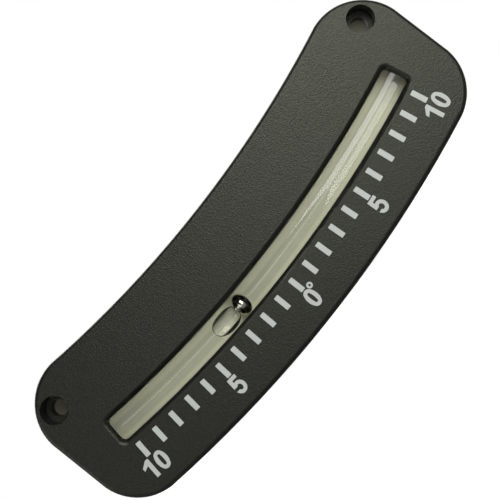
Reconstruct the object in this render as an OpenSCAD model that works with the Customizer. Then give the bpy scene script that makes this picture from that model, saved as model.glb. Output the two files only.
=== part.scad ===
// Ball inclinometer. A steel ball rolls in a curved tube full of clear liquid, behind a
// window in a moulded housing, and its place against the printed scale gives the tilt.
// Lengths are millimetres and angles are degrees. +Z is up, the face looks along -Y and the
// back lies at Y = 0. The origin is halfway between the two mounting holes, on the back.

/* [Scale] */
// Radius of the tube's centreline, which sets the length of one degree
tube_arc_r = 300; // [260:1:420]
// Degrees shown on each side of zero
scale_angle = 10; // [8:1:12]
// Degrees between one graduation and the next
tick_angle = 1; // [0.5:0.5:2]
// Width of a graduation
tick_w = 1.35; // [0.6:0.05:2]
// Length of a graduation
tick_len = 4.2; // [2:0.1:5]
// Distance from the tube's centreline to the graduations
tick_drop = 5.4; // [4.8:0.1:8]
// Thickness of the printed ink
ink_t = 0.08; // [0.04:0.01:0.2]

/* [Numerals] */
// Height of a numeral
numeral_h = 4.95; // [4:0.05:6]
// Width of the numerals nought and five
numeral_w = 3.1; // [2.6:0.05:3.8]
// Width of a numeral's stroke
stroke_w = 0.95; // [0.5:0.05:1.1]
// Gap between the two figures of ten
figure_gap = 0.95; // [0.4:0.05:2]
// Gap between the graduations and the numerals
numeral_gap = 0.3; // [0.1:0.05:2]
// Outer diameter of the degree ring
degree_d = 1.6; // [1:0.1:2]

/* [Housing] */
// Thickness of the whole case, from the face to the back
case_t = 11; // [10.5:0.1:16]
// Distance from the tube's centreline up to the concave edge
band_above = 22.6; // [20:0.1:30]
// Distance from the tube's centreline down to the convex edge
band_below = 18.7; // [17:0.1:26]
// Distance from the tube's end to the straight end of the case
end_margin = 5.1; // [4.75:0.05:10]
// Corner radius of the case, seen from the front
corner_r = 13.5; // [8:0.5:16]
// Radius of the rounded rim of the face
rim_r = 1.2; // [0.4:0.1:1.4]
// Thickness of the front wall
face_wall = 2; // [1.5:0.1:2.5]
// Thickness of the side wall
side_wall = 2; // [1.8:0.1:2.4]
// Thickness of the stiffening ribs
rib_t = 1.2; // [0.8:0.1:2]

/* [Window] */
// Width of the window, across the tube
window_w = 6.5; // [5:0.1:6.8]
// How far the window runs past the last graduation, along the arc
window_overrun = 2.35; // [1.5:0.05:4]
// Corner radius of the window, seen from the front
window_corner_r = 1; // [0.5:0.1:1.6]
// Radius of the window's rounded edge
window_edge_r = 1.5; // [0.4:0.1:1.7]

/* [Tube] */
// Outer diameter of the tube
tube_d = 7; // [6.8:0.1:7.4]
// Bore of the tube
bore_d = 4.4; // [4.3:0.05:5]
// Depth of the tube's centreline behind the face
tube_depth = 5; // [4.8:0.1:5.2]
// Radial clearance of the tube in its groove
tube_fit = 0.1; // [0.05:0.05:0.25]
// How far the liquid runs past the last graduation, along the arc
liquid_overrun = 4.8; // [4:0.1:7]
// Clearance between the liquid and what it wets
liquid_fit = 0.02; // [0.01:0.01:0.04]

/* [Plugs] */
// Length of a plug inside the tube
plug_len = 4.7; // [3.5:0.1:6]
// Thickness of a plug's flange
flange_t = 0.8; // [0.5:0.1:1.2]
// Radial clearance of a plug in the bore
plug_fit = 0.05; // [0.02:0.01:0.1]
// Cord diameter of a plug's O-ring
seal_d = 0.9; // [0.6:0.1:1.1]
// Clearance at each end of the tube in its groove
end_fit = 0.15; // [0.05:0.05:0.4]

/* [Ball and bubble] */
// Diameter of the steel ball
ball_d = 4; // [3.5:0.1:4.1]
// Reading at which the ball lies
ball_angle = -2.26; // [-6:0.01:8]
// Diameter of the air bubble
bubble_d = 3.9; // [3.2:0.1:4]
// Length of the air bubble
bubble_len = 7.4; // [5:0.1:12]
// Radius of the bubble's flatter end
bubble_end_r = 1.3; // [0.8:0.1:1.6]
// Gap between the ball and the bubble
bubble_gap = 0.2; // [0.1:0.05:2]

/* [Backing strip] */
// Thickness of the pale strip behind the tube
strip_t = 0.5; // [0.3:0.05:0.8]
// Width of the pale strip
strip_w = 6.4; // [4:0.1:6.8]
// Gap between the tube and what lies behind it
strip_fit = 0.05; // [0.02:0.01:0.1]

/* [Foam pads] */
// Width of a foam pad
pad_w = 5.6; // [4:0.1:6.6]
// Length of a foam pad, along the arc
pad_len = 3.6; // [2:0.1:4]
// Gap between a pad and the end of the strip
pad_gap = 0.4; // [0.2:0.1:1]

/* [Back cover] */
// Thickness of the cover
cover_t = 1.5; // [1.2:0.1:1.8]
// Width of the case's lip around the cover
lip_w = 1; // [0.8:0.1:1.2]
// Clearance around the cover
cover_fit = 0.15; // [0.05:0.05:0.3]

/* [Cover screws] */
// Diameter of a screw's core
screw_d = 1.9; // [1.6:0.1:2.4]
// Diameter of a screw's head
head_d = 4; // [3.4:0.1:4.4]
// Length of a screw, with its head
screw_len = 6; // [4:0.5:6.5]
// Radial clearance of a screw in its hole
screw_fit = 0.05; // [0.03:0.01:0.1]
// Diameter of the bosses that the screws bite into
screw_boss_d = 5.2; // [4.6:0.1:6]
// Distance of the upper screws above the tube's centreline
screw_above = 13; // [11:0.5:16]
// Distance of the lower screws below the tube's centreline
screw_below = 11; // [10:0.5:12]
// Place of the upper screws, in degrees from zero
screw_angle_above = 5.2; // [3:0.1:7]
// Place of the lower screws, in degrees from zero
screw_angle_below = 8.2; // [6:0.1:9]

/* [Mounting holes] */
// Diameter of the mounting holes
mount_d = 4.3; // [3:0.1:5]
// Diameter of the counterbore for the screw's head
counterbore_d = 7; // [6:0.1:8]
// Depth of the counterbore
counterbore_depth = 7; // [4:0.5:8]
// Diameter of the boss around a mounting hole
mount_boss_d = 10.4; // [9.5:0.1:12]
// Distance from the straight end of the case to a mounting hole
mount_inset = 6.95; // [6.25:0.05:10]
// Distance of the mounting holes above the tube's centreline
mount_above = 13.4; // [12.5:0.1:16]

/* [Hidden] */

arc_fn = 720;          // the long arcs
round_fn = 48;         // everything small and round
skin = 1;              // how far a cut runs past the surface that it opens
seam = 0.02;           // corners are this much fuller, so that they cross the edges cleanly

// Angle that a length along the tube's centreline takes up
function along(len) = len * 180 / (PI * tube_arc_r);
function polar(r, a) = [r * sin(a), -r * cos(a)];

window_end = scale_angle + along(window_overrun);
liquid_end = scale_angle + along(liquid_overrun);
tube_end = liquid_end + along(plug_len);
groove_end = tube_end + along(flange_t + end_fit);
block_end = groove_end + along(side_wall);

top_r = tube_arc_r - band_above;
bottom_r = tube_arc_r + band_below;
half_w = tube_arc_r * sin(tube_end) + end_margin;
outline_top = corner_r - top_r;             // above the highest point of the outline

tube_h = case_t - tube_depth;
groove_r = tube_d / 2 + tube_fit;
bore_r = bore_d / 2;
channel_wall = 1.8;
inside_h = case_t - face_wall;
strip_h = tube_h - tube_d / 2 - strip_fit;  // the strip's front
boss_cut_d = mount_boss_d + 2 * cover_fit;

mount_x = half_w - mount_inset;
mount_r = tube_arc_r - mount_above;
arc_z = sqrt(pow(mount_r, 2) - pow(mount_x, 2));

tick_r = tube_arc_r + tick_drop;
numeral_r = tick_r + tick_len + numeral_gap + numeral_h / 2;

head_t = (head_d - screw_d) / 2;
bubble_angle = ball_angle - along(ball_d / 2 + bubble_gap + bubble_len / 2);
screw_places = [[tube_arc_r - screw_above, screw_angle_above],
                [tube_arc_r + screw_below, screw_angle_below]];
rib_angles_above = [-8, 0, 8];
rib_angles_below = [-5, 0, 5];
rib_h = 4;
pilot_spare = 0.6;     // how far a screw's hole runs past its tip
screw_tip = 1.2;
recess_len = 2.2;      // the cross recess in a screw's head
recess_w = 0.6;
recess_depth = 0.7;
seal_r = bore_r - seal_d / 2 - liquid_fit;
tick_ease = 0.15;      // the eased corners of a graduation
one_w = numeral_w * 0.8;
side_stroke = stroke_w * 1.12;
end_share = 0.4;       // an oval's end radius as a share of its width
bowl_share = 0.46;     // the same for the bowl of a five
five_mouth = numeral_h * 0.17;
ring_stroke = degree_d * 0.31;
ring_lift = 32;        // direction of the degree ring from the nought's upper curve
degree_gap = 0.15;

// Corner centres of the outline, on the right
upper_corner = [half_w - corner_r,
                -sqrt(pow(top_r + corner_r, 2) - pow(half_w - corner_r, 2))];
lower_corner = [half_w - corner_r,
                -sqrt(pow(bottom_r - corner_r, 2) - pow(half_w - corner_r, 2))];

// Seen from the front, with the arc's centre at the origin and height counted from the back
module from_front() translate([0, 0, arc_z]) rotate([90, 0, 0]) children();

// Carry a profile of radius and height along the arc, from one reading to another
module sweep(from, to)
    rotate([0, 0, from - 90]) rotate_extrude(angle = to - from, $fn = arc_fn) children();

// Stand at a radius and a reading, with X along the arc and Y towards its centre
module at(r, a) translate(concat(polar(r, a), [0])) rotate([0, 0, a]) children();

module both_sides() {
    children();
    mirror([1, 0, 0]) children();
}

module slab(low, high) translate([0, 0, low]) linear_extrude(height = high - low) children();

// What lies outside a corner: the wedges start at the corner's centre
module upper_wedge() {
    reach = top_r - corner_r;
    polygon([upper_corner, [half_w + skin, upper_corner[1]],
             [half_w + skin, outline_top],
             upper_corner * (reach / (top_r + corner_r))]);
}

module lower_wedge() {
    reach = bottom_r + corner_r;
    polygon([lower_corner, [half_w + skin, lower_corner[1]],
             [half_w + skin, lower_corner[1] - 2 * corner_r],
             lower_corner * (reach / (bottom_r - corner_r))]);
}

// The case's outline, drawn in by a distance
module outline(inset) {
    difference() {
        intersection() {
            difference() {
                circle(r = bottom_r - inset, $fn = arc_fn);
                circle(r = top_r + inset, $fn = arc_fn);
            }
            translate([inset - half_w, -bottom_r])
                square([2 * (half_w - inset), bottom_r + outline_top]);
        }
        both_sides() {
            difference() {
                upper_wedge();
                translate(upper_corner) circle(r = corner_r - inset + seam, $fn = arc_fn);
            }
            difference() {
                lower_wedge();
                translate(lower_corner) circle(r = corner_r - inset + seam, $fn = arc_fn);
            }
        }
    }
}

// A rectangle with its upper right corner rounded
module eased_corner(w, h, r) {
    difference() {
        square([w, h]);
        translate([w - r, h - r]) difference() {
            square(r + skin);
            circle(r = r, $fn = round_fn);
        }
    }
}

// A rectangle that stands on the X axis, with both upper corners rounded
module eased_bar(w, h, r) {
    eased_corner(w / 2, h, r);
    mirror([1, 0]) eased_corner(w / 2, h, r);
}

module corner_disc()
    translate([0, 0, -2 * skin]) rotate_extrude($fn = arc_fn)
        eased_corner(corner_r + seam, case_t + 2 * skin + seam, rim_r);

// The outside of the housing, with its rounded rim
module case_blank() {
    difference() {
        intersection() {
            sweep(-block_end - scale_angle, block_end + scale_angle)
                translate([(top_r + bottom_r) / 2, 0])
                    eased_bar(bottom_r - top_r, case_t, rim_r);
            translate([0, outline_top, 0]) rotate([90, 0, 0])
                linear_extrude(height = bottom_r + outline_top + skin)
                    eased_bar(2 * half_w, case_t, rim_r);
        }
        both_sides() {
            difference() {
                slab(-skin, case_t + skin) upper_wedge();
                translate(upper_corner) corner_disc();
            }
            difference() {
                slab(-skin, case_t + skin) lower_wedge();
                translate(lower_corner) corner_disc();
            }
        }
    }
}

// The window's section: straight walls that round over onto the face
module window_half() {
    difference() {
        translate([0, tube_h])
            square([window_w / 2 + window_edge_r, tube_depth + skin]);
        translate([window_w / 2, 0])
            square([window_edge_r + skin, case_t + 2 * seam - window_edge_r]);
        translate([window_w / 2 + window_edge_r, case_t + 2 * seam - window_edge_r])
            circle(r = window_edge_r, $fn = round_fn);
    }
}

// What stays beyond the window's end, cut back by the rounded edge
module window_end_stop() {
    reach = 2 * window_w;
    at(tube_arc_r, window_end) translate([0, reach / 2, 0]) rotate([90, 0, 0])
        linear_extrude(height = reach) difference() {
            translate([0, tube_h - skin]) square([reach, tube_depth + 3 * skin]);
            translate([-window_w / 2, 0]) window_half();
        }
}

// What stays in a corner of the window: side is 1 towards the arc's centre, or -1
module window_corner_stop(side) {
    r = tube_arc_r - side * (window_w / 2 - window_corner_r);
    lean = asin(window_corner_r / r);
    reach = window_corner_r + window_edge_r + skin;
    translate(concat(polar(r, window_end - lean), [0])) rotate([0, 0, window_end])
        difference() {
            slab(tube_h - skin, case_t + skin / 2)
                polygon([[0, 0], [reach, 0], [reach, side * reach],
                         side * reach * [sin(lean), cos(lean)]]);
            translate([0, 0, -seam]) rotate_extrude($fn = arc_fn) intersection() {
                translate([window_corner_r + seam - window_w / 2, 0]) window_half();
                square([window_corner_r + window_edge_r + skin, case_t + 2 * skin]);
            }
        }
}

module window_opening() {
    past = along(window_w);
    difference() {
        sweep(-window_end - past, window_end + past) translate([tube_arc_r, 0]) {
            window_half();
            mirror([1, 0]) window_half();
        }
        both_sides() {
            window_end_stop();
            window_corner_stop(1);
            window_corner_stop(-1);
        }
    }
}

module at_mounting_holes() both_sides() translate([mount_x, -arc_z, 0]) children();

module at_cover_screws()
    both_sides() for (p = screw_places) at(p[0], p[1]) children();

module radial_rib(a, from_r, to_r)
    at(to_r, a) translate([-rib_t / 2, 0, inside_h - rib_h])
        cube([rib_t, to_r - from_r, rib_h + skin]);

// The groove that holds the tube, open at the back
module tube_groove() {
    sweep(-groove_end, groove_end) {
        translate([tube_arc_r, tube_h]) circle(r = groove_r, $fn = round_fn);
        translate([tube_arc_r - groove_r, -skin]) square([2 * groove_r, tube_h + skin]);
    }
}

module hollow() {
    difference() {
        slab(cover_t, inside_h) outline(side_wall);
        sweep(-block_end, block_end)
            translate([tube_arc_r - groove_r - channel_wall, 0])
                square([2 * (groove_r + channel_wall), case_t]);
        at_mounting_holes() cylinder(h = case_t, d = mount_boss_d, $fn = round_fn);
        at_cover_screws() cylinder(h = case_t, d = screw_boss_d, $fn = round_fn);
        for (a = rib_angles_above) radial_rib(a, top_r, tube_arc_r - groove_r);
        for (a = rib_angles_below) radial_rib(a, tube_arc_r + groove_r, bottom_r);
    }
}

module housing() color([0.2, 0.2, 0.19]) from_front() difference() {
    case_blank();
    hollow();
    difference() {
        slab(-skin, cover_t) outline(lip_w);
        at_mounting_holes()
            translate([0, 0, -2 * skin]) cylinder(h = case_t, d = mount_boss_d, $fn = round_fn);
    }
    tube_groove();
    window_opening();
    at_mounting_holes() {
        translate([0, 0, -skin]) cylinder(h = case_t, d = mount_d, $fn = round_fn);
        translate([0, 0, case_t - counterbore_depth])
            cylinder(h = counterbore_depth + skin, d = counterbore_d, $fn = round_fn);
    }
    at_cover_screws()
        cylinder(h = screw_len + pilot_spare, d = screw_d + 2 * screw_fit, $fn = round_fn);
}

// A countersunk screw's body, grown by a clearance
module screw_form(grow) {
    cylinder(h = head_t, d1 = head_d + 2 * grow, d2 = screw_d + 2 * grow, $fn = round_fn);
    cylinder(h = screw_len - screw_tip, d = screw_d + 2 * grow, $fn = round_fn);
}

module back_cover() color([0.16, 0.16, 0.16]) from_front() {
    difference() {
        slab(0, cover_t) outline(lip_w + cover_fit);
        at_mounting_holes()
            translate([0, 0, -skin])
                cylinder(h = cover_t + 2 * skin, d = boss_cut_d, $fn = round_fn);
        at_cover_screws() {
            screw_form(screw_fit);
            translate([0, 0, -skin]) cylinder(h = 2 * skin, d = screw_d, $fn = round_fn);
        }
    }
    sweep(-liquid_end, liquid_end) translate([tube_arc_r - strip_w / 2, cover_t / 2])
        square([strip_w, strip_h - strip_t - cover_t / 2]);
}

module vial_tube() color([0.85, 0.88, 0.84, 0.4]) from_front()
    sweep(-tube_end, tube_end) translate([tube_arc_r, tube_h]) difference() {
        circle(d = tube_d, $fn = round_fn);
        circle(d = bore_d, $fn = round_fn);
    }

// A ring on the tube's axis, halfway along a plug
module around_plug() at(tube_arc_r, (liquid_end + tube_end) / 2)
    translate([0, 0, tube_h]) rotate([0, 90, 0]) rotate_extrude($fn = round_fn) children();

module end_plug() {
    difference() {
        sweep(liquid_end, tube_end) translate([tube_arc_r, tube_h])
            circle(r = bore_r - plug_fit, $fn = round_fn);
        around_plug() translate([seal_r - seal_d / 2 - liquid_fit, -seal_d / 2 - plug_fit])
            square([seal_d + skin, seal_d + 2 * plug_fit]);
    }
    sweep(tube_end, tube_end + along(flange_t)) translate([tube_arc_r, tube_h])
        circle(d = tube_d - 2 * plug_fit, $fn = round_fn);
}

module plug_seal() around_plug() translate([seal_r, 0]) circle(d = seal_d, $fn = round_fn);

module right_end_plug() color([0.25, 0.25, 0.24]) from_front() end_plug();
module left_end_plug() color([0.25, 0.25, 0.24]) from_front() mirror([1, 0, 0]) end_plug();
module right_plug_seal() color([0.12, 0.12, 0.12]) from_front() plug_seal();
module left_plug_seal() color([0.12, 0.12, 0.12]) from_front() mirror([1, 0, 0]) plug_seal();

module tube_pad() {
    start = liquid_end + along(pad_gap);
    sweep(start, start + along(pad_len)) translate([tube_arc_r - pad_w / 2, cover_t])
        square([pad_w, strip_h - cover_t]);
}

module right_tube_pad() color([0.3, 0.3, 0.32]) from_front() tube_pad();
module left_tube_pad() color([0.3, 0.3, 0.32]) from_front() mirror([1, 0, 0]) tube_pad();

module backing_strip() color([0.8, 0.81, 0.68]) from_front()
    sweep(-liquid_end, liquid_end)
        translate([tube_arc_r - strip_w / 2, strip_h - strip_t]) square([strip_w, strip_t]);

module ball_form(grow) at(tube_arc_r, ball_angle) translate([0, 0, tube_h])
    sphere(d = ball_d + 2 * grow, $fn = round_fn);

// The bubble's half section: round on the left, flatter against the ball
module bubble_section(r, len, end_r) {
    intersection() {
        translate([0, r - len / 2]) circle(r = r, $fn = round_fn);
        translate([0, -len / 2]) square([r, r]);
    }
    translate([0, r - len / 2]) square([r, len - r - end_r]);
    translate([0, len / 2 - end_r - skin]) square([r - end_r, end_r + skin]);
    translate([r - end_r, len / 2 - end_r]) intersection() {
        circle(r = end_r, $fn = round_fn);
        translate([0, -skin]) square([end_r, end_r + skin]);
    }
}

module bubble_form(grow) at(tube_arc_r, bubble_angle) translate([0, 0, tube_h])
    rotate([0, 90, 0]) rotate_extrude($fn = round_fn)
        bubble_section(bubble_d / 2 + grow, bubble_len + 2 * grow, bubble_end_r);

module steel_ball() color([0.75, 0.76, 0.76]) from_front() ball_form(0);
module air_bubble() color([0.9, 0.93, 0.9, 0.3]) from_front() bubble_form(0);

module damping_fluid() color([0.86, 0.88, 0.74, 0.3]) from_front() difference() {
    sweep(-liquid_end, liquid_end) translate([tube_arc_r, tube_h])
        circle(r = bore_r - liquid_fit, $fn = round_fn);
    ball_form(liquid_fit);
    bubble_form(liquid_fit);
}

// Four screws, each with a cross recess and a pointed tip
module cover_screws() color([0.7, 0.7, 0.7]) from_front() at_cover_screws() difference() {
    union() {
        screw_form(0);
        translate([0, 0, screw_len - screw_tip])
            cylinder(h = screw_tip, d1 = screw_d, d2 = screw_d / 3, $fn = round_fn);
    }
    for (turn = [0, 90]) rotate([0, 0, turn])
        translate([-recess_len / 2, -recess_w / 2, -skin])
            cube([recess_len, recess_w, recess_depth + skin]);
}

// Ink that lies on the face
module printed() translate([0, 0, case_t]) linear_extrude(height = ink_t) children();

// A rectangle around the origin with eased corners
module eased_mark(w, h, r) {
    square([w - 2 * r, h], center = true);
    square([w, h - 2 * r], center = true);
    for (x = [-1, 1], y = [-1, 1])
        translate([x * (w / 2 - r), y * (h / 2 - r)]) circle(r = r, $fn = round_fn);
}

module tick_marks() color([0.72, 0.73, 0.71]) from_front() printed()
    for (a = [-scale_angle : tick_angle : scale_angle])
        translate(polar(tick_r + tick_len / 2, a)) rotate(a)
            eased_mark(tick_w, tick_len, tick_ease);

// An upright oval of four arcs, two at its ends and two longer ones along its sides
module oval(w, h, end_r) {
    rise = h / 2 - end_r;
    side_r = (pow(w / 2, 2) + pow(rise, 2) - pow(end_r, 2)) / (w - 2 * end_r);
    meet = side_r * rise / (side_r - end_r);
    for (end = [-1, 1]) translate([0, end * rise]) circle(r = end_r, $fn = round_fn);
    intersection() {
        translate([w / 2 - side_r, 0]) circle(r = side_r, $fn = arc_fn);
        translate([side_r - w / 2, 0]) circle(r = side_r, $fn = arc_fn);
        square([w, 2 * meet], center = true);
    }
}

module figure_nought() difference() {
    oval(numeral_w, numeral_h, numeral_w * end_share);
    oval(numeral_w - 2 * side_stroke, numeral_h - 2 * stroke_w,
         (numeral_w - 2 * side_stroke) * end_share);
}

// A stem with a flag: the flag's upper edge slopes down from the stem to its tip
module figure_one() {
    stem_w = stroke_w * 1.15;
    slope_start = stem_w * 0.75;
    tip_top = stroke_w * 1.25;
    tip_low = stroke_w * 2.15;
    root_low = stroke_w * 1.5;
    top = numeral_h / 2;
    right = one_w / 2;
    polygon([[right, -top], [right, top], [right - slope_start, top],
             [-right, top - tip_top], [-right, top - tip_low],
             [right - stem_w, top - root_low], [right - stem_w, -top]]);
}

// The bowl's ring is open on the left, between the upright and the lower end
module figure_five() {
    top = numeral_h / 2;
    left = -numeral_w / 2;
    foot = top - numeral_h * 0.55;
    arm_end = numeral_w * 0.35;
    lean = stroke_w * 0.15;
    bowl_h = numeral_h * 0.7;
    inner_w = numeral_w - 2 * stroke_w;
    mouth_w = numeral_w * 0.95;
    polygon([[left + lean, top], [left, foot], [left + stroke_w, foot],
             [left + stroke_w + lean, top - stroke_w], [arm_end, top - stroke_w],
             [arm_end, top]]);
    difference() {
        translate([0, bowl_h / 2 - top]) difference() {
            oval(numeral_w, bowl_h, numeral_w * bowl_share);
            oval(inner_w, bowl_h - 2 * stroke_w, inner_w * bowl_share);
        }
        translate([2 * left, foot - five_mouth]) square([mouth_w, five_mouth]);
    }
}

module figure_ten() {
    total = one_w + figure_gap + numeral_w;
    translate([(one_w - total) / 2, 0]) figure_one();
    translate([(total - numeral_w) / 2, 0]) figure_nought();
}

// A numeral under its own graduation
module label(a) color([0.72, 0.73, 0.71]) from_front() printed()
    translate(polar(numeral_r, a)) rotate(a) children();

module numeral_left_ten() label(-scale_angle) figure_ten();
module numeral_left_five() label(-scale_angle / 2) figure_five();
module numeral_zero() label(0) figure_nought();
module numeral_right_five() label(scale_angle / 2) figure_five();
module numeral_right_ten() label(scale_angle) figure_ten();

// The ring stands off the nought's upper right curve
module degree_ring() {
    end_r = numeral_w * end_share;
    off = end_r + degree_gap + degree_d / 2;
    label(0) translate([off * cos(ring_lift), numeral_h / 2 - end_r + off * sin(ring_lift)])
        difference() {
            circle(d = degree_d, $fn = round_fn);
            circle(d = degree_d - 2 * ring_stroke, $fn = round_fn);
        }
}

housing();
back_cover();
vial_tube();
left_end_plug();
right_end_plug();
left_plug_seal();
right_plug_seal();
left_tube_pad();
right_tube_pad();
backing_strip();
damping_fluid();
steel_ball();
air_bubble();
cover_screws();
tick_marks();
numeral_left_ten();
numeral_left_five();
numeral_zero();
degree_ring();
numeral_right_five();
numeral_right_ten();
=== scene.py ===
import math

import bmesh
import bpy
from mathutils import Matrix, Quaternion, Vector


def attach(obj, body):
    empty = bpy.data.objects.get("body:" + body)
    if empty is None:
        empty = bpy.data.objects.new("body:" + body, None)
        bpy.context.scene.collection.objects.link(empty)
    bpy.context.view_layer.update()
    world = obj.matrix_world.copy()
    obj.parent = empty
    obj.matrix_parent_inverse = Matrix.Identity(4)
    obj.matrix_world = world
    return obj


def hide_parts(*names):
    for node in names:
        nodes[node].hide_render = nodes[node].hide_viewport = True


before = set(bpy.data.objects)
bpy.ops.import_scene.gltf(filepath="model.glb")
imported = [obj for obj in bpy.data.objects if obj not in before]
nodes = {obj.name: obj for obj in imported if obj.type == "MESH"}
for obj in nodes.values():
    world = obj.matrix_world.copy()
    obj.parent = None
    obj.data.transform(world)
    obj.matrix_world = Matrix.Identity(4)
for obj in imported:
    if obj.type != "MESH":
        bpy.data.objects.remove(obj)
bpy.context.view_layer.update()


# ---------------------------------------------------------------------------
# Case: the housing, with its rounded rim, counterbores and arc-shaped window, and the
# flat cover that closes its back. Both are injection-moulded black ABS from a mould
# with a fine spark-eroded grain, so the face is a satin charcoal rather than a gloss.
# ---------------------------------------------------------------------------
mm = 0.001
arc_centre = Vector((0, 0, 280.34 * mm))  # centre of the scale's arc, on the back's plane


def srgb(code):
    """A colour written as an sRGB hex value, as the linear colour that a shader takes."""
    parts = [int(code[i:i + 2], 16) / 255 for i in (1, 3, 5)]
    return [c / 12.92 if c <= 0.04045 else ((c + 0.055) / 1.055) ** 2.4 for c in parts] + [1]


def add(tree, kind, links=None, **settings):
    """Adds a node. Settings named after an input set that input, and the others set the
    node's own properties; links says which output feeds which input."""
    node = tree.nodes.new(kind)
    for name, value in settings.items():
        if hasattr(node, name):
            setattr(node, name, value)
        else:
            node.inputs[name.replace("_", " ")].default_value = value
    for name, source in (links or {}).items():
        tree.links.new(source, node.inputs[name])
    return node


def start_material(name):
    """An empty node material, its shader, and the object's own coordinates."""
    material = bpy.data.materials.new(name)
    material.use_nodes = True
    tree = material.node_tree
    shader = tree.nodes["Principled BSDF"]
    place = add(tree, "ShaderNodeTexCoord").outputs["Object"]
    return material, tree, shader, place


def dress(piece, material):
    """Gives a piece one material."""
    piece.data.materials.clear()
    piece.data.materials.append(material)


# Black ABS, moulded against spark-eroded steel: a satin surface with a fine sandy grain. It
# is nearly black, so most of what the eye gets from it is the sheen, which is a little warm.
abs_plastic, tree, shader, place = start_material("Black ABS, spark-eroded grain")
grain_width = 0.3 * mm                   # the real grain is near 0.1 mm, too fine to show
grain_depth = 0.05 * mm                  # from the grain's peaks to its pits
flow_width = 9 * mm                      # slow changes of shade where the melt flowed
grain = add(tree, "ShaderNodeTexNoise", {"Vector": place}, Scale=1 / grain_width,
            Detail=0.0)
flow = add(tree, "ShaderNodeTexNoise", {"Vector": place}, Scale=1 / flow_width, Detail=1.0)
shade = add(tree, "ShaderNodeMapRange", {"Value": grain.outputs["Fac"]},
            From_Min=0.3, From_Max=0.7, To_Min=0.35, To_Max=1.65)
tone = add(tree, "ShaderNodeMapRange", {"Value": flow.outputs["Fac"]},
           From_Min=0.3, From_Max=0.7, To_Min=0.94, To_Max=1.06)
both = add(tree, "ShaderNodeMath", {0: shade.outputs[0], 1: tone.outputs[0]},
           operation="MULTIPLY")
black = add(tree, "ShaderNodeVectorMath", {"Scale": both.outputs[0]}, operation="SCALE")
black.inputs[0].default_value = srgb("#0d0d0b")[:3]
tree.links.new(black.outputs[0], shader.inputs["Base Color"])
gloss = add(tree, "ShaderNodeMapRange", {"Value": grain.outputs["Fac"]},
            From_Min=0.3, From_Max=0.7, To_Min=0.46, To_Max=0.38)
tree.links.new(gloss.outputs[0], shader.inputs["Roughness"])
pits = add(tree, "ShaderNodeBump", {"Height": grain.outputs["Fac"]},
           Strength=1.0, Distance=grain_depth)
tree.links.new(pits.outputs[0], shader.inputs["Normal"])
shader.inputs["IOR"].default_value = 1.5
shader.inputs["Specular IOR Level"].default_value = 0.46
shader.inputs["Specular Tint"].default_value = (0.97, 1.0, 0.82, 1)

for name in ("housing", "back_cover"):
    dress(nodes[name], abs_plastic)


# ---------------------------------------------------------------------------
# Backing strip: a pale cream plastic film that lies behind the tube, so that the ball
# shows against it. It is die-cut, matt, and only its middle shows through the window.
# ---------------------------------------------------------------------------
# Cream matt film: it scatters light evenly, with very faint flecks of a second shade.
cream, tree, shader, place = start_material("Cream matt film")
fleck_width = 2.5 * mm
fleck = add(tree, "ShaderNodeTexNoise", {"Vector": place}, Scale=1 / fleck_width, Detail=3.0)
warm = add(tree, "ShaderNodeMix", {"Factor": fleck.outputs["Fac"]}, data_type="RGBA")
warm.inputs["A"].default_value = srgb("#c5c7ad")
warm.inputs["B"].default_value = srgb("#ced1b7")
# Painted shade and painted light: the film is darkened along the line that the tube presses on,
# as the shade where the tube lies on it, and is lightened on both sides. The tube magnifies
# that middle, so the lightened film on both sides shows as painted bright bands near the tube's
# edges.
tube_arc_r = 300 * mm                    # radius of the tube's centreline, as bent
painted_shade_half = 0.5 * mm                     # half the width of the painted shade along the tube's line
painted_shade_end = 0.72 * mm                   # where the painted shade ends and the painted lighter band is full
from_centre = add(tree, "ShaderNodeVectorMath", {0: place}, operation="MULTIPLY_ADD")
from_centre.inputs[1].default_value = (1, 0, 1)
from_centre.inputs[2].default_value = (0, 0, -arc_centre.z)
reach = add(tree, "ShaderNodeVectorMath", {0: from_centre.outputs[0]}, operation="LENGTH")
below = add(tree, "ShaderNodeMath", {0: reach.outputs["Value"]}, operation="SUBTRACT")
below.inputs[1].default_value = tube_arc_r
aside = add(tree, "ShaderNodeMath", {0: below.outputs[0]}, operation="ABSOLUTE")
# Painted shade along the tube's middle line, and painted lighter film beside it.
painted_shade_and_light = add(tree, "ShaderNodeMapRange", {"Value": aside.outputs[0]},
            From_Min=painted_shade_half, From_Max=painted_shade_end, To_Min=1.0, To_Max=1.32)
film = add(tree, "ShaderNodeVectorMath",
           {0: warm.outputs["Result"], "Scale": painted_shade_and_light.outputs[0]}, operation="SCALE")
tree.links.new(film.outputs[0], shader.inputs["Base Color"])
shader.inputs["Roughness"].default_value = 0.7
dress(nodes["backing_strip"], cream)


# ---------------------------------------------------------------------------
# Tube: a clear acrylic tube, extruded and bent hot to the scale's arc. Its bore is full
# of liquid that bends light nearly as the acrylic does, so the bore's wall hardly shows.
# ---------------------------------------------------------------------------
tube_y = -6 * mm
tube_r = 3.5 * mm
bore_r = 2.2 * mm
tube_end = math.radians(11.8144)         # the reading at which the tube ends


def arc_point(angle, radius=0.0, side=0.0):
    """A point beside the tube's centreline: angle is the reading, radius the distance
    from the centreline, and side the turn about it."""
    reach = tube_arc_r + radius * math.cos(side)
    return Vector((reach * math.sin(angle), tube_y + radius * math.sin(side),
                   arc_centre.z - reach * math.cos(angle)))


def finished(name, mesh, smooth=True):
    """The object that a mesh under construction becomes."""
    data = bpy.data.meshes.new(name)
    mesh.to_mesh(data)
    mesh.free()
    data.polygons.foreach_set("use_smooth", [smooth] * len(data.polygons))
    piece = bpy.data.objects.new(name, data)
    bpy.context.scene.collection.objects.link(piece)
    return piece


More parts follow.
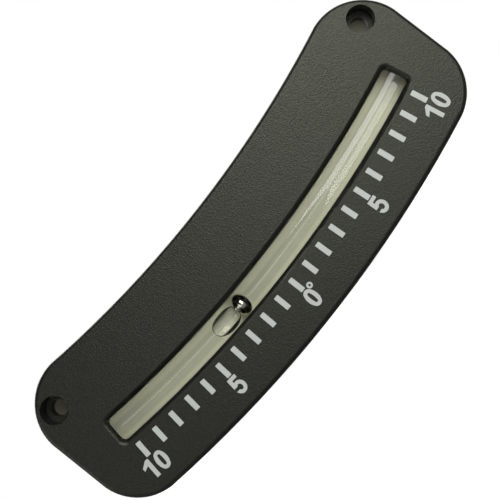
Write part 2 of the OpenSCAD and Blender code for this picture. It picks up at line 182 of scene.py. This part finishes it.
def swept_skin(name, rings, turns=144):
    """A closed skin round the tube's centreline, from rings of (angle, radius). A ring of
    no radius closes an end, and a first ring equal to the last closes the skin on itself."""
    mesh = bmesh.new()
    looped = rings[0] == rings[-1]
    rows = []
    for angle, radius in rings[:-1] if looped else rings:
        if radius == 0:
            rows.append([mesh.verts.new(arc_point(angle))])
        else:
            rows.append([mesh.verts.new(arc_point(angle, radius, 2 * math.pi * k / turns))
                         for k in range(turns)])
    pairs = list(zip(rows, rows[1:])) + ([(rows[-1], rows[0])] if looped else [])
    for low, high in pairs:
        for k in range(turns):
            n = (k + 1) % turns
            corners = [low[k % len(low)], low[n % len(low)],
                       high[n % len(high)], high[k % len(high)]]
            mesh.faces.new(list(dict.fromkeys(corners)))
    bmesh.ops.recalc_face_normals(mesh, faces=mesh.faces)
    return finished(name, mesh)


def steps(start, end, count):
    """Evenly spaced values from start to end, both included."""
    return [start + (end - start) * k / count for k in range(count + 1)]


def clear_material(name, tint, ior):
    """A material that lets light through without blur and bends it by ior."""
    material, tree, shader, place = start_material(name)
    shader.inputs["Base Color"].default_value = srgb(tint)
    shader.inputs["Roughness"].default_value = 0.0
    shader.inputs["IOR"].default_value = ior
    shader.inputs["Transmission Weight"].default_value = 1.0
    return material


ring_count = 240                         # rings along the tube, fine enough to bend light well
outer = [(a, tube_r) for a in steps(-tube_end, tube_end, ring_count)]
inner = [(a, bore_r) for a in steps(tube_end, -tube_end, ring_count)]
tube = swept_skin("clear_tube", outer + inner + outer[:1])

# Clear acrylic, polished by the heat of the die: it mirrors the lamps in thin bright lines.
acrylic_ior = 1.49
acrylic = clear_material("Clear acrylic, extruded", "#fdfdfa", acrylic_ior)
# The bore's wall is acrylic against liquid, which bends light by the ratio of the two, so
# it hardly shows.
oil_ior = 1.47
wetted = clear_material("Clear acrylic, wetted bore", "#ffffff", acrylic_ior / oil_ior)

dress(tube, acrylic)
tube.data.materials.append(wetted)
for face in tube.data.polygons:
    reading = math.atan2(face.center.x, arc_centre.z - face.center.z)
    depth = (Vector(face.center) - arc_point(reading)).length
    face.material_index = 0 if depth > (tube_r + bore_r) / 2 else 1
# The lamps and the light that pieces give each other reach the strip as if no tube were
# there. That light would otherwise come through it as noise.
tube.visible_shadow = tube.visible_diffuse = False
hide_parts("vial_tube")
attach(tube, "case")


# ---------------------------------------------------------------------------
# Damping liquid: a clear light oil that fills the bore between the plugs. The bore's wall
# just outside its surface already bends the light, so this piece only adds a faint tint.
# ---------------------------------------------------------------------------
liquid_end = math.radians(10.9167)       # the reading at which a plug begins
liquid_r = 2.18 * mm                     # a hair inside the bore, so that no skins coincide
liquid_rings = 140
fill = [(-liquid_end, 0)]
fill += [(a, liquid_r) for a in steps(-liquid_end, liquid_end, liquid_rings)]
liquid = swept_skin("damping_liquid", fill + [(liquid_end, 0)])
# Clear damping oil: nothing shows of it but its tint, since the bore bends the light.
oil = clear_material("Clear damping oil", "#fdfdfa", 1.0)
dress(liquid, oil)
liquid.visible_shadow = liquid.visible_diffuse = False
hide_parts("damping_fluid")
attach(liquid, "case")


# ---------------------------------------------------------------------------
# Ball: a ground and polished bearing ball of chrome steel, 4 mm across, which rolls
# along the lowest line of the bore.
# ---------------------------------------------------------------------------
ball_r = 2 * mm
ball_reading = math.radians(-2.26)       # the reading that it shows
ball_slack = 0.17 * mm                   # how far it rests from the bore's centreline
ball_side = math.radians(36)             # down and to the back, where it lies
ball_mesh = bmesh.new()
bmesh.ops.create_icosphere(ball_mesh, subdivisions=6, radius=ball_r)
bmesh.ops.translate(ball_mesh, verts=ball_mesh.verts,
                    vec=arc_point(ball_reading, ball_slack, ball_side))
ball = finished("polished_ball", ball_mesh)
# Chrome steel, lapped and polished: a mirror, dulled in places by a very light haze.
steel, tree, shader, place = start_material("Chrome steel, polished")
shader.inputs["Base Color"].default_value = srgb("#c6c4b8")
shader.inputs["Metallic"].default_value = 1.0
haze_width = 0.4 * mm
scuff = add(tree, "ShaderNodeTexNoise", {"Vector": place}, Scale=1 / haze_width, Detail=4.0)
dull = add(tree, "ShaderNodeMapRange", {"Value": scuff.outputs["Fac"]},
           From_Min=0.4, From_Max=0.7, To_Min=0.03, To_Max=0.09)
tree.links.new(dull.outputs[0], shader.inputs["Roughness"])
dress(ball, steel)
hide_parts("steel_ball")
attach(ball, "ball")


# ---------------------------------------------------------------------------
# Air bubble: the air left in the tube for the liquid to expand into. It lies against the
# front of the bore, beside the ball, and its edge turns light away, so that shows dark.
# ---------------------------------------------------------------------------
bubble_reading = math.radians(-3.33)     # the reading at its middle
bubble_half = 3.95 * mm                  # half its length along the tube
bubble_side = 1.98 * mm                  # half its width across the tube
bubble_low = 0.14 * mm                   # how far it lies below the bore's centreline
bubble_front = 2.13 * mm                 # its front lies against the bore, a film away
bubble_back = -0.6 * mm                  # its back, where it is deepest
bubble_rim = 0.22 * mm                   # its rounded rim, from the front to its widest line
bubble_round = 0.07                      # share of the way from middle to edge that is rounded
outer_end, ball_end = 2.7, 3.0           # 2 makes an end elliptical, and more makes it blunter


def start_bare(name):
    """A node material without the usual shader, and the input that its surface takes."""
    material = bpy.data.materials.new(name)
    material.use_nodes = True
    tree = material.node_tree
    tree.nodes.remove(tree.nodes["Principled BSDF"])
    return material, tree, tree.nodes["Material Output"].inputs["Surface"]


def bubble_outline(turn):
    """A point of the bubble's outline seen from the front: its end by the ball is blunt."""
    x, y = math.cos(turn), math.sin(turn)
    power = outer_end if x < 0 else ball_end
    size = (abs(x) ** power + abs(y) ** power) ** (1 / power)
    return x / size * bubble_half, y / size * bubble_side


def bubble_height(t, across, side):
    """How far the bubble reaches in front of the tube's centreline: t runs from its middle
    to its edge, across is that edge's place, and side is 1 for the front or -1 for the back."""
    here = bubble_low + t * across
    front = math.sqrt(bubble_front ** 2 - here ** 2)
    if side > 0:
        bend = max(0, (t - 1 + bubble_round) / bubble_round)
        return front - bubble_rim * (1 - math.sqrt(max(0, 1 - bend ** 2)))
    edge = math.sqrt(bubble_front ** 2 - (bubble_low + across) ** 2) - bubble_rim
    return edge + (bubble_back - edge) * math.sqrt(max(0, 1 - t ** 2))


flat_rows, round_rows, turns = 20, 12, 96
shares = [k / flat_rows * (1 - bubble_round) for k in range(1, flat_rows + 1)]
shares += [1 - bubble_round * (1 - math.sin(math.pi / 2 * k / round_rows))
           for k in range(1, round_rows)]
skin_mesh = bmesh.new()


def bubble_point(t, turn, side):
    """A point of the bubble, from how far it is from the middle and in which direction."""
    along, across = bubble_outline(turn)
    angle = bubble_reading + t * along / tube_arc_r
    reach = tube_arc_r + bubble_low + t * across
    return skin_mesh.verts.new((reach * math.sin(angle),
                                tube_y - bubble_height(t, across, side),
                                arc_centre.z - reach * math.cos(angle)))


directions = [2 * math.pi * k / turns for k in range(turns)]
edge_line = [bubble_point(1, turn, 1) for turn in directions]
for side in (1, -1):
    rows = [[bubble_point(0, 0, side)] * turns]
    rows += [[bubble_point(t, turn, side) for turn in directions] for t in shares]
    rows.append(edge_line)
    for low, high in zip(rows, rows[1:]):
        for k in range(turns):
            n = (k + 1) % turns
            skin_mesh.faces.new(list(dict.fromkeys([low[k], low[n], high[n], high[k]])))
bmesh.ops.recalc_face_normals(skin_mesh, faces=skin_mesh.faces)
bubble = finished("air_bubble_skin", skin_mesh)
# Air in oil: it mirrors all light that meets it at a slant, so its edge shows dark.
air, tree, surface = start_bare("Air in oil")
clear = add(tree, "ShaderNodeBsdfGlass", IOR=1 / oil_ior, Roughness=0.0, Color=srgb("#ffffff"))
tree.links.new(clear.outputs[0], surface)
dress(bubble, air)
bubble.visible_shadow = bubble.visible_diffuse = False
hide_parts("air_bubble")
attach(bubble, "bubble")


# ---------------------------------------------------------------------------
# Plugs, O-rings and foam pads: what closes and cushions the tube's ends inside the
# housing. The plugs are moulded nylon, the rings nitrile rubber, the pads cut foam.
# ---------------------------------------------------------------------------
# Black nylon, moulded: a satin black with a faint unevenness where it shrank.
nylon_skin = 0.5 * mm
nylon, tree, shader, place = start_material("Black nylon, moulded")
shader.inputs["Base Color"].default_value = srgb("#232321")
shader.inputs["Roughness"].default_value = 0.42
skin_noise = add(tree, "ShaderNodeTexNoise", {"Vector": place}, Scale=1 / nylon_skin,
                 Detail=2.0)
skin_bump = add(tree, "ShaderNodeBump", {"Height": skin_noise.outputs["Fac"]},
                Strength=0.2, Distance=0.02 * mm)
tree.links.new(skin_bump.outputs[0], shader.inputs["Normal"])

# Nitrile rubber, moulded: a dull black, with a bloom that dulls it more in places.
bloom_width = 0.3 * mm
rubber, tree, shader, place = start_material("Nitrile rubber, moulded")
shader.inputs["Base Color"].default_value = srgb("#161616")
bloom = add(tree, "ShaderNodeTexNoise", {"Vector": place}, Scale=1 / bloom_width, Detail=2.0)
dusty = add(tree, "ShaderNodeMapRange", {"Value": bloom.outputs["Fac"]},
            To_Min=0.5, To_Max=0.75)
tree.links.new(dusty.outputs[0], shader.inputs["Roughness"])

# Closed-cell foam, cut: a dark matt grey, pitted where the knife opened the cells.
cell_width = 0.35 * mm
foam, tree, shader, place = start_material("Closed-cell foam, cut")
cells = add(tree, "ShaderNodeTexVoronoi", {"Vector": place}, Scale=1 / cell_width)
cell_shade = add(tree, "ShaderNodeMix", {"Factor": cells.outputs["Distance"]},
                 data_type="RGBA")
cell_shade.inputs["A"].default_value = srgb("#3a3a3b")
cell_shade.inputs["B"].default_value = srgb("#2b2b2c")
tree.links.new(cell_shade.outputs["Result"], shader.inputs["Base Color"])
cell_bump = add(tree, "ShaderNodeBump", {"Height": cells.outputs["Distance"]},
                Strength=0.6, Distance=0.08 * mm)
tree.links.new(cell_bump.outputs[0], shader.inputs["Normal"])
shader.inputs["Roughness"].default_value = 0.9

for side in ("left", "right"):
    dress(nodes[side + "_end_plug"], nylon)
    dress(nodes[side + "_plug_seal"], rubber)
    dress(nodes[side + "_tube_pad"], foam)


# ---------------------------------------------------------------------------
# Cover screws: four small countersunk screws with cross recesses, of zinc-plated steel,
# driven through the cover into the housing's bosses.
# ---------------------------------------------------------------------------
# Zinc-plated steel: a bright cool grey, blurred in blotches by the plating.
plating_width = 0.6 * mm
zinc, tree, shader, place = start_material("Zinc-plated steel")
shader.inputs["Base Color"].default_value = srgb("#b9babb")
shader.inputs["Metallic"].default_value = 1.0
blotch = add(tree, "ShaderNodeTexNoise", {"Vector": place}, Scale=1 / plating_width,
             Detail=3.0)
plating = add(tree, "ShaderNodeMapRange", {"Value": blotch.outputs["Fac"]},
              From_Min=0.3, From_Max=0.7, To_Min=0.24, To_Max=0.4)
tree.links.new(plating.outputs[0], shader.inputs["Roughness"])
dress(nodes["cover_screws"], zinc)


# ---------------------------------------------------------------------------
# Scale: graduations at every degree and the numerals at each fifth, pad-printed in one
# coat of pale grey ink on the face. The coat is thin enough for the grain to show in it.
# ---------------------------------------------------------------------------
# Pale grey ink, pad-printed: matt, and a little uneven in shade where the pad left less.
speck_width = 0.3 * mm
ink, tree, shader, place = start_material("Pale grey ink, pad-printed")
speck = add(tree, "ShaderNodeTexNoise", {"Vector": place}, Scale=1 / speck_width, Detail=2.0)
coat = add(tree, "ShaderNodeMix", {"Factor": speck.outputs["Fac"]}, data_type="RGBA")
coat.inputs["A"].default_value = srgb("#b4b8b2")
coat.inputs["B"].default_value = srgb("#c2c6c0")
tree.links.new(coat.outputs["Result"], shader.inputs["Base Color"])
coat_bump = add(tree, "ShaderNodeBump", {"Height": speck.outputs["Fac"]},
                Strength=0.25, Distance=0.02 * mm)
tree.links.new(coat_bump.outputs[0], shader.inputs["Normal"])
shader.inputs["Roughness"].default_value = 0.55
shader.inputs["Specular IOR Level"].default_value = 0.3
for name in ("tick_marks", "numeral_left_ten", "numeral_left_five", "numeral_zero",
             "degree_ring", "numeral_right_five", "numeral_right_ten"):
    dress(nodes[name], ink)


# ---------------------------------------------------------------------------
# Studio: a pale floor that takes the shadow, and a plain white surround. A long narrow
# softbox draws the thin bright line along the tube. A key from above on the right gives the
# face its sheen, a weaker softbox stands on the left, and another lights the back.
# ---------------------------------------------------------------------------
scene = bpy.context.scene
scene.view_settings.view_transform = "Standard"


def soft_lamp(name, at, aim, long_side, short_side, power):
    """A rectangular softbox that faces a point. Lengths are in metres, power in watts."""
    light = bpy.data.lights.new(name, "AREA")
    light.shape = "RECTANGLE"
    light.size, light.size_y, light.energy = long_side, short_side, power
    lamp = bpy.data.objects.new(name, light)
    scene.collection.objects.link(lamp)
    lamp.location = at
    lamp.rotation_mode = "QUATERNION"
    lamp.rotation_quaternion = (Vector(aim) - Vector(at)).to_track_quat("-Z", "Y")
    lamp.visible_camera = False


soft_lamp("line_softbox", at=(0.03, -0.36, -0.02), aim=(0.02, 0, -0.02),
          long_side=0.6, short_side=0.035, power=0.125)
soft_lamp("key_softbox", at=(0.18, -0.36, 0.158), aim=(0.02, 0, -0.015),
          long_side=0.32, short_side=0.32, power=1.85)
soft_lamp("left_softbox", at=(-0.48, -0.26, 0.05), aim=(0, 0, -0.015),
          long_side=0.3, short_side=0.3, power=0.75)
soft_lamp("back_softbox", at=(-0.3, 0.5, 0.35), aim=(0, 0, 0),
          long_side=0.4, short_side=0.4, power=2.2)

world = bpy.data.worlds.new("studio")
scene.world = world
world.use_nodes = True
tree = world.node_tree
tree.nodes.clear()
# The surround is white where the camera sees it, and in what the object mirrors or lets
# through from behind. For all other light it is only a weak fill.
ray = add(tree, "ShaderNodeLightPath")
gaze = add(tree, "ShaderNodeTexCoord").outputs["Generated"]
axes = add(tree, "ShaderNodeSeparateXYZ", {0: gaze})
behind = add(tree, "ShaderNodeMapRange", {"Value": axes.outputs["Y"]},
             From_Min=0.1, From_Max=0.6, To_Min=0.0, To_Max=1.0)
shiny = add(tree, "ShaderNodeMath",
            {0: ray.outputs["Is Glossy Ray"], 1: ray.outputs["Is Transmission Ray"]},
            operation="MAXIMUM")
mirrored = add(tree, "ShaderNodeMath", {0: shiny.outputs[0], 1: behind.outputs[0]},
               operation="MULTIPLY")
seen = add(tree, "ShaderNodeMath",
           {0: mirrored.outputs[0], 1: ray.outputs["Is Camera Ray"]}, operation="MAXIMUM")
fill_level, backdrop_level = 0.04, 1.0   # what lights the object, and what is seen
soft = add(tree, "ShaderNodeBackground", Color=srgb("#ffffff"), Strength=fill_level)
white = add(tree, "ShaderNodeBackground", Color=srgb("#ffffff"), Strength=backdrop_level)
sky = add(tree, "ShaderNodeMixShader",
          {0: seen.outputs[0], 1: soft.outputs[0], 2: white.outputs[0]})
add(tree, "ShaderNodeOutputWorld", {"Surface": sky.outputs[0]})

floor_z = -38.35 * mm                    # the case's lowest point rests on it
half = 0.6                               # half the floor's width, in metres
data = bpy.data.meshes.new("floor")
data.from_pydata([(-half, -half, floor_z), (half, -half, floor_z),
                  (half, half, floor_z), (-half, half, floor_z)], [], [(0, 1, 2, 3)])
floor = bpy.data.objects.new("floor", data)
scene.collection.objects.link(floor)
# White studio paper, matt: it glows to the camera alone, so that it fades into the white
# surround and still takes the soft shadow.
glow_near, glow_far = 0.15, 0.5          # where the glow starts to grow and where it is full
near_level, far_level = 0.9, 1.0
paper, tree, surface = start_bare("White studio paper")
ray = add(tree, "ShaderNodeLightPath")
matt = add(tree, "ShaderNodeBsdfDiffuse", Color=srgb("#b4b4b2"))
spot = add(tree, "ShaderNodeTexCoord").outputs["Object"]
away = add(tree, "ShaderNodeVectorMath", {0: spot}, operation="LENGTH")
level = add(tree, "ShaderNodeMapRange", {"Value": away.outputs["Value"]},
            From_Min=glow_near, From_Max=glow_far, To_Min=near_level, To_Max=far_level)
glow = add(tree, "ShaderNodeEmission", {"Strength": level.outputs[0]}, Color=srgb("#ffffff"))
lit = add(tree, "ShaderNodeAddShader", {0: matt.outputs[0], 1: glow.outputs[0]})
shown = add(tree, "ShaderNodeMixShader",
            {0: ray.outputs["Is Camera Ray"], 1: matt.outputs[0], 2: lit.outputs[0]})
tree.links.new(shown.outputs[0], surface)
dress(floor, paper)

# The picture shows the instrument lying on a table, which shows at the bottom of its screw
# holes. A pale disc close behind each hole stands for it. Only its front shows, so that the
# holes stay open from behind.
screw_x = 59.5724 * mm                   # from the middle to each screw hole
disc_gap, disc_r, disc_sides = 0.4 * mm, 2.6 * mm, 48
disc_mesh = bmesh.new()
for x in (-screw_x, screw_x):
    rim = [disc_mesh.verts.new((x + disc_r * math.cos(2 * math.pi * k / disc_sides), disc_gap,
                                disc_r * math.sin(2 * math.pi * k / disc_sides)))
           for k in range(disc_sides)]
    disc_mesh.faces.new(rim)
discs = finished("table_under_holes", disc_mesh, smooth=False)
# Pale table top: a matt warm grey.
table, tree, surface = start_bare("Pale table top")
facing = add(tree, "ShaderNodeNewGeometry").outputs["Backfacing"]
matt = add(tree, "ShaderNodeBsdfDiffuse", Color=srgb("#a8a692"))
open_side = add(tree, "ShaderNodeBsdfTransparent")
shown = add(tree, "ShaderNodeMixShader",
            {0: facing, 1: matt.outputs[0], 2: open_side.outputs[0]})
tree.links.new(shown.outputs[0], surface)
dress(discs, table)
discs.visible_shadow = False

# The camera stands 290 mm in front of the face and is rolled, so that the scale's zero
# line leans over as in the picture.
camera_at = Vector((0.68, -300.91, -28.82)) * mm
camera_aim = Vector((-0.30, -11, -13.29)) * mm
camera_roll = math.radians(-51.933)
focal_length = 87.458                    # in mm, on a sensor 36 mm wide
lens = bpy.data.cameras.new("camera")
lens.sensor_width, lens.lens = 36, focal_length
lens.clip_start, lens.clip_end = 0.01, 10
camera = bpy.data.objects.new("camera", lens)
scene.collection.objects.link(camera)
camera.location = camera_at
camera.rotation_mode = "QUATERNION"
look = (camera_aim - camera_at).to_track_quat("-Z", "Y")
camera.rotation_quaternion = look @ Quaternion((0, 0, 1), camera_roll)
scene.camera = camera
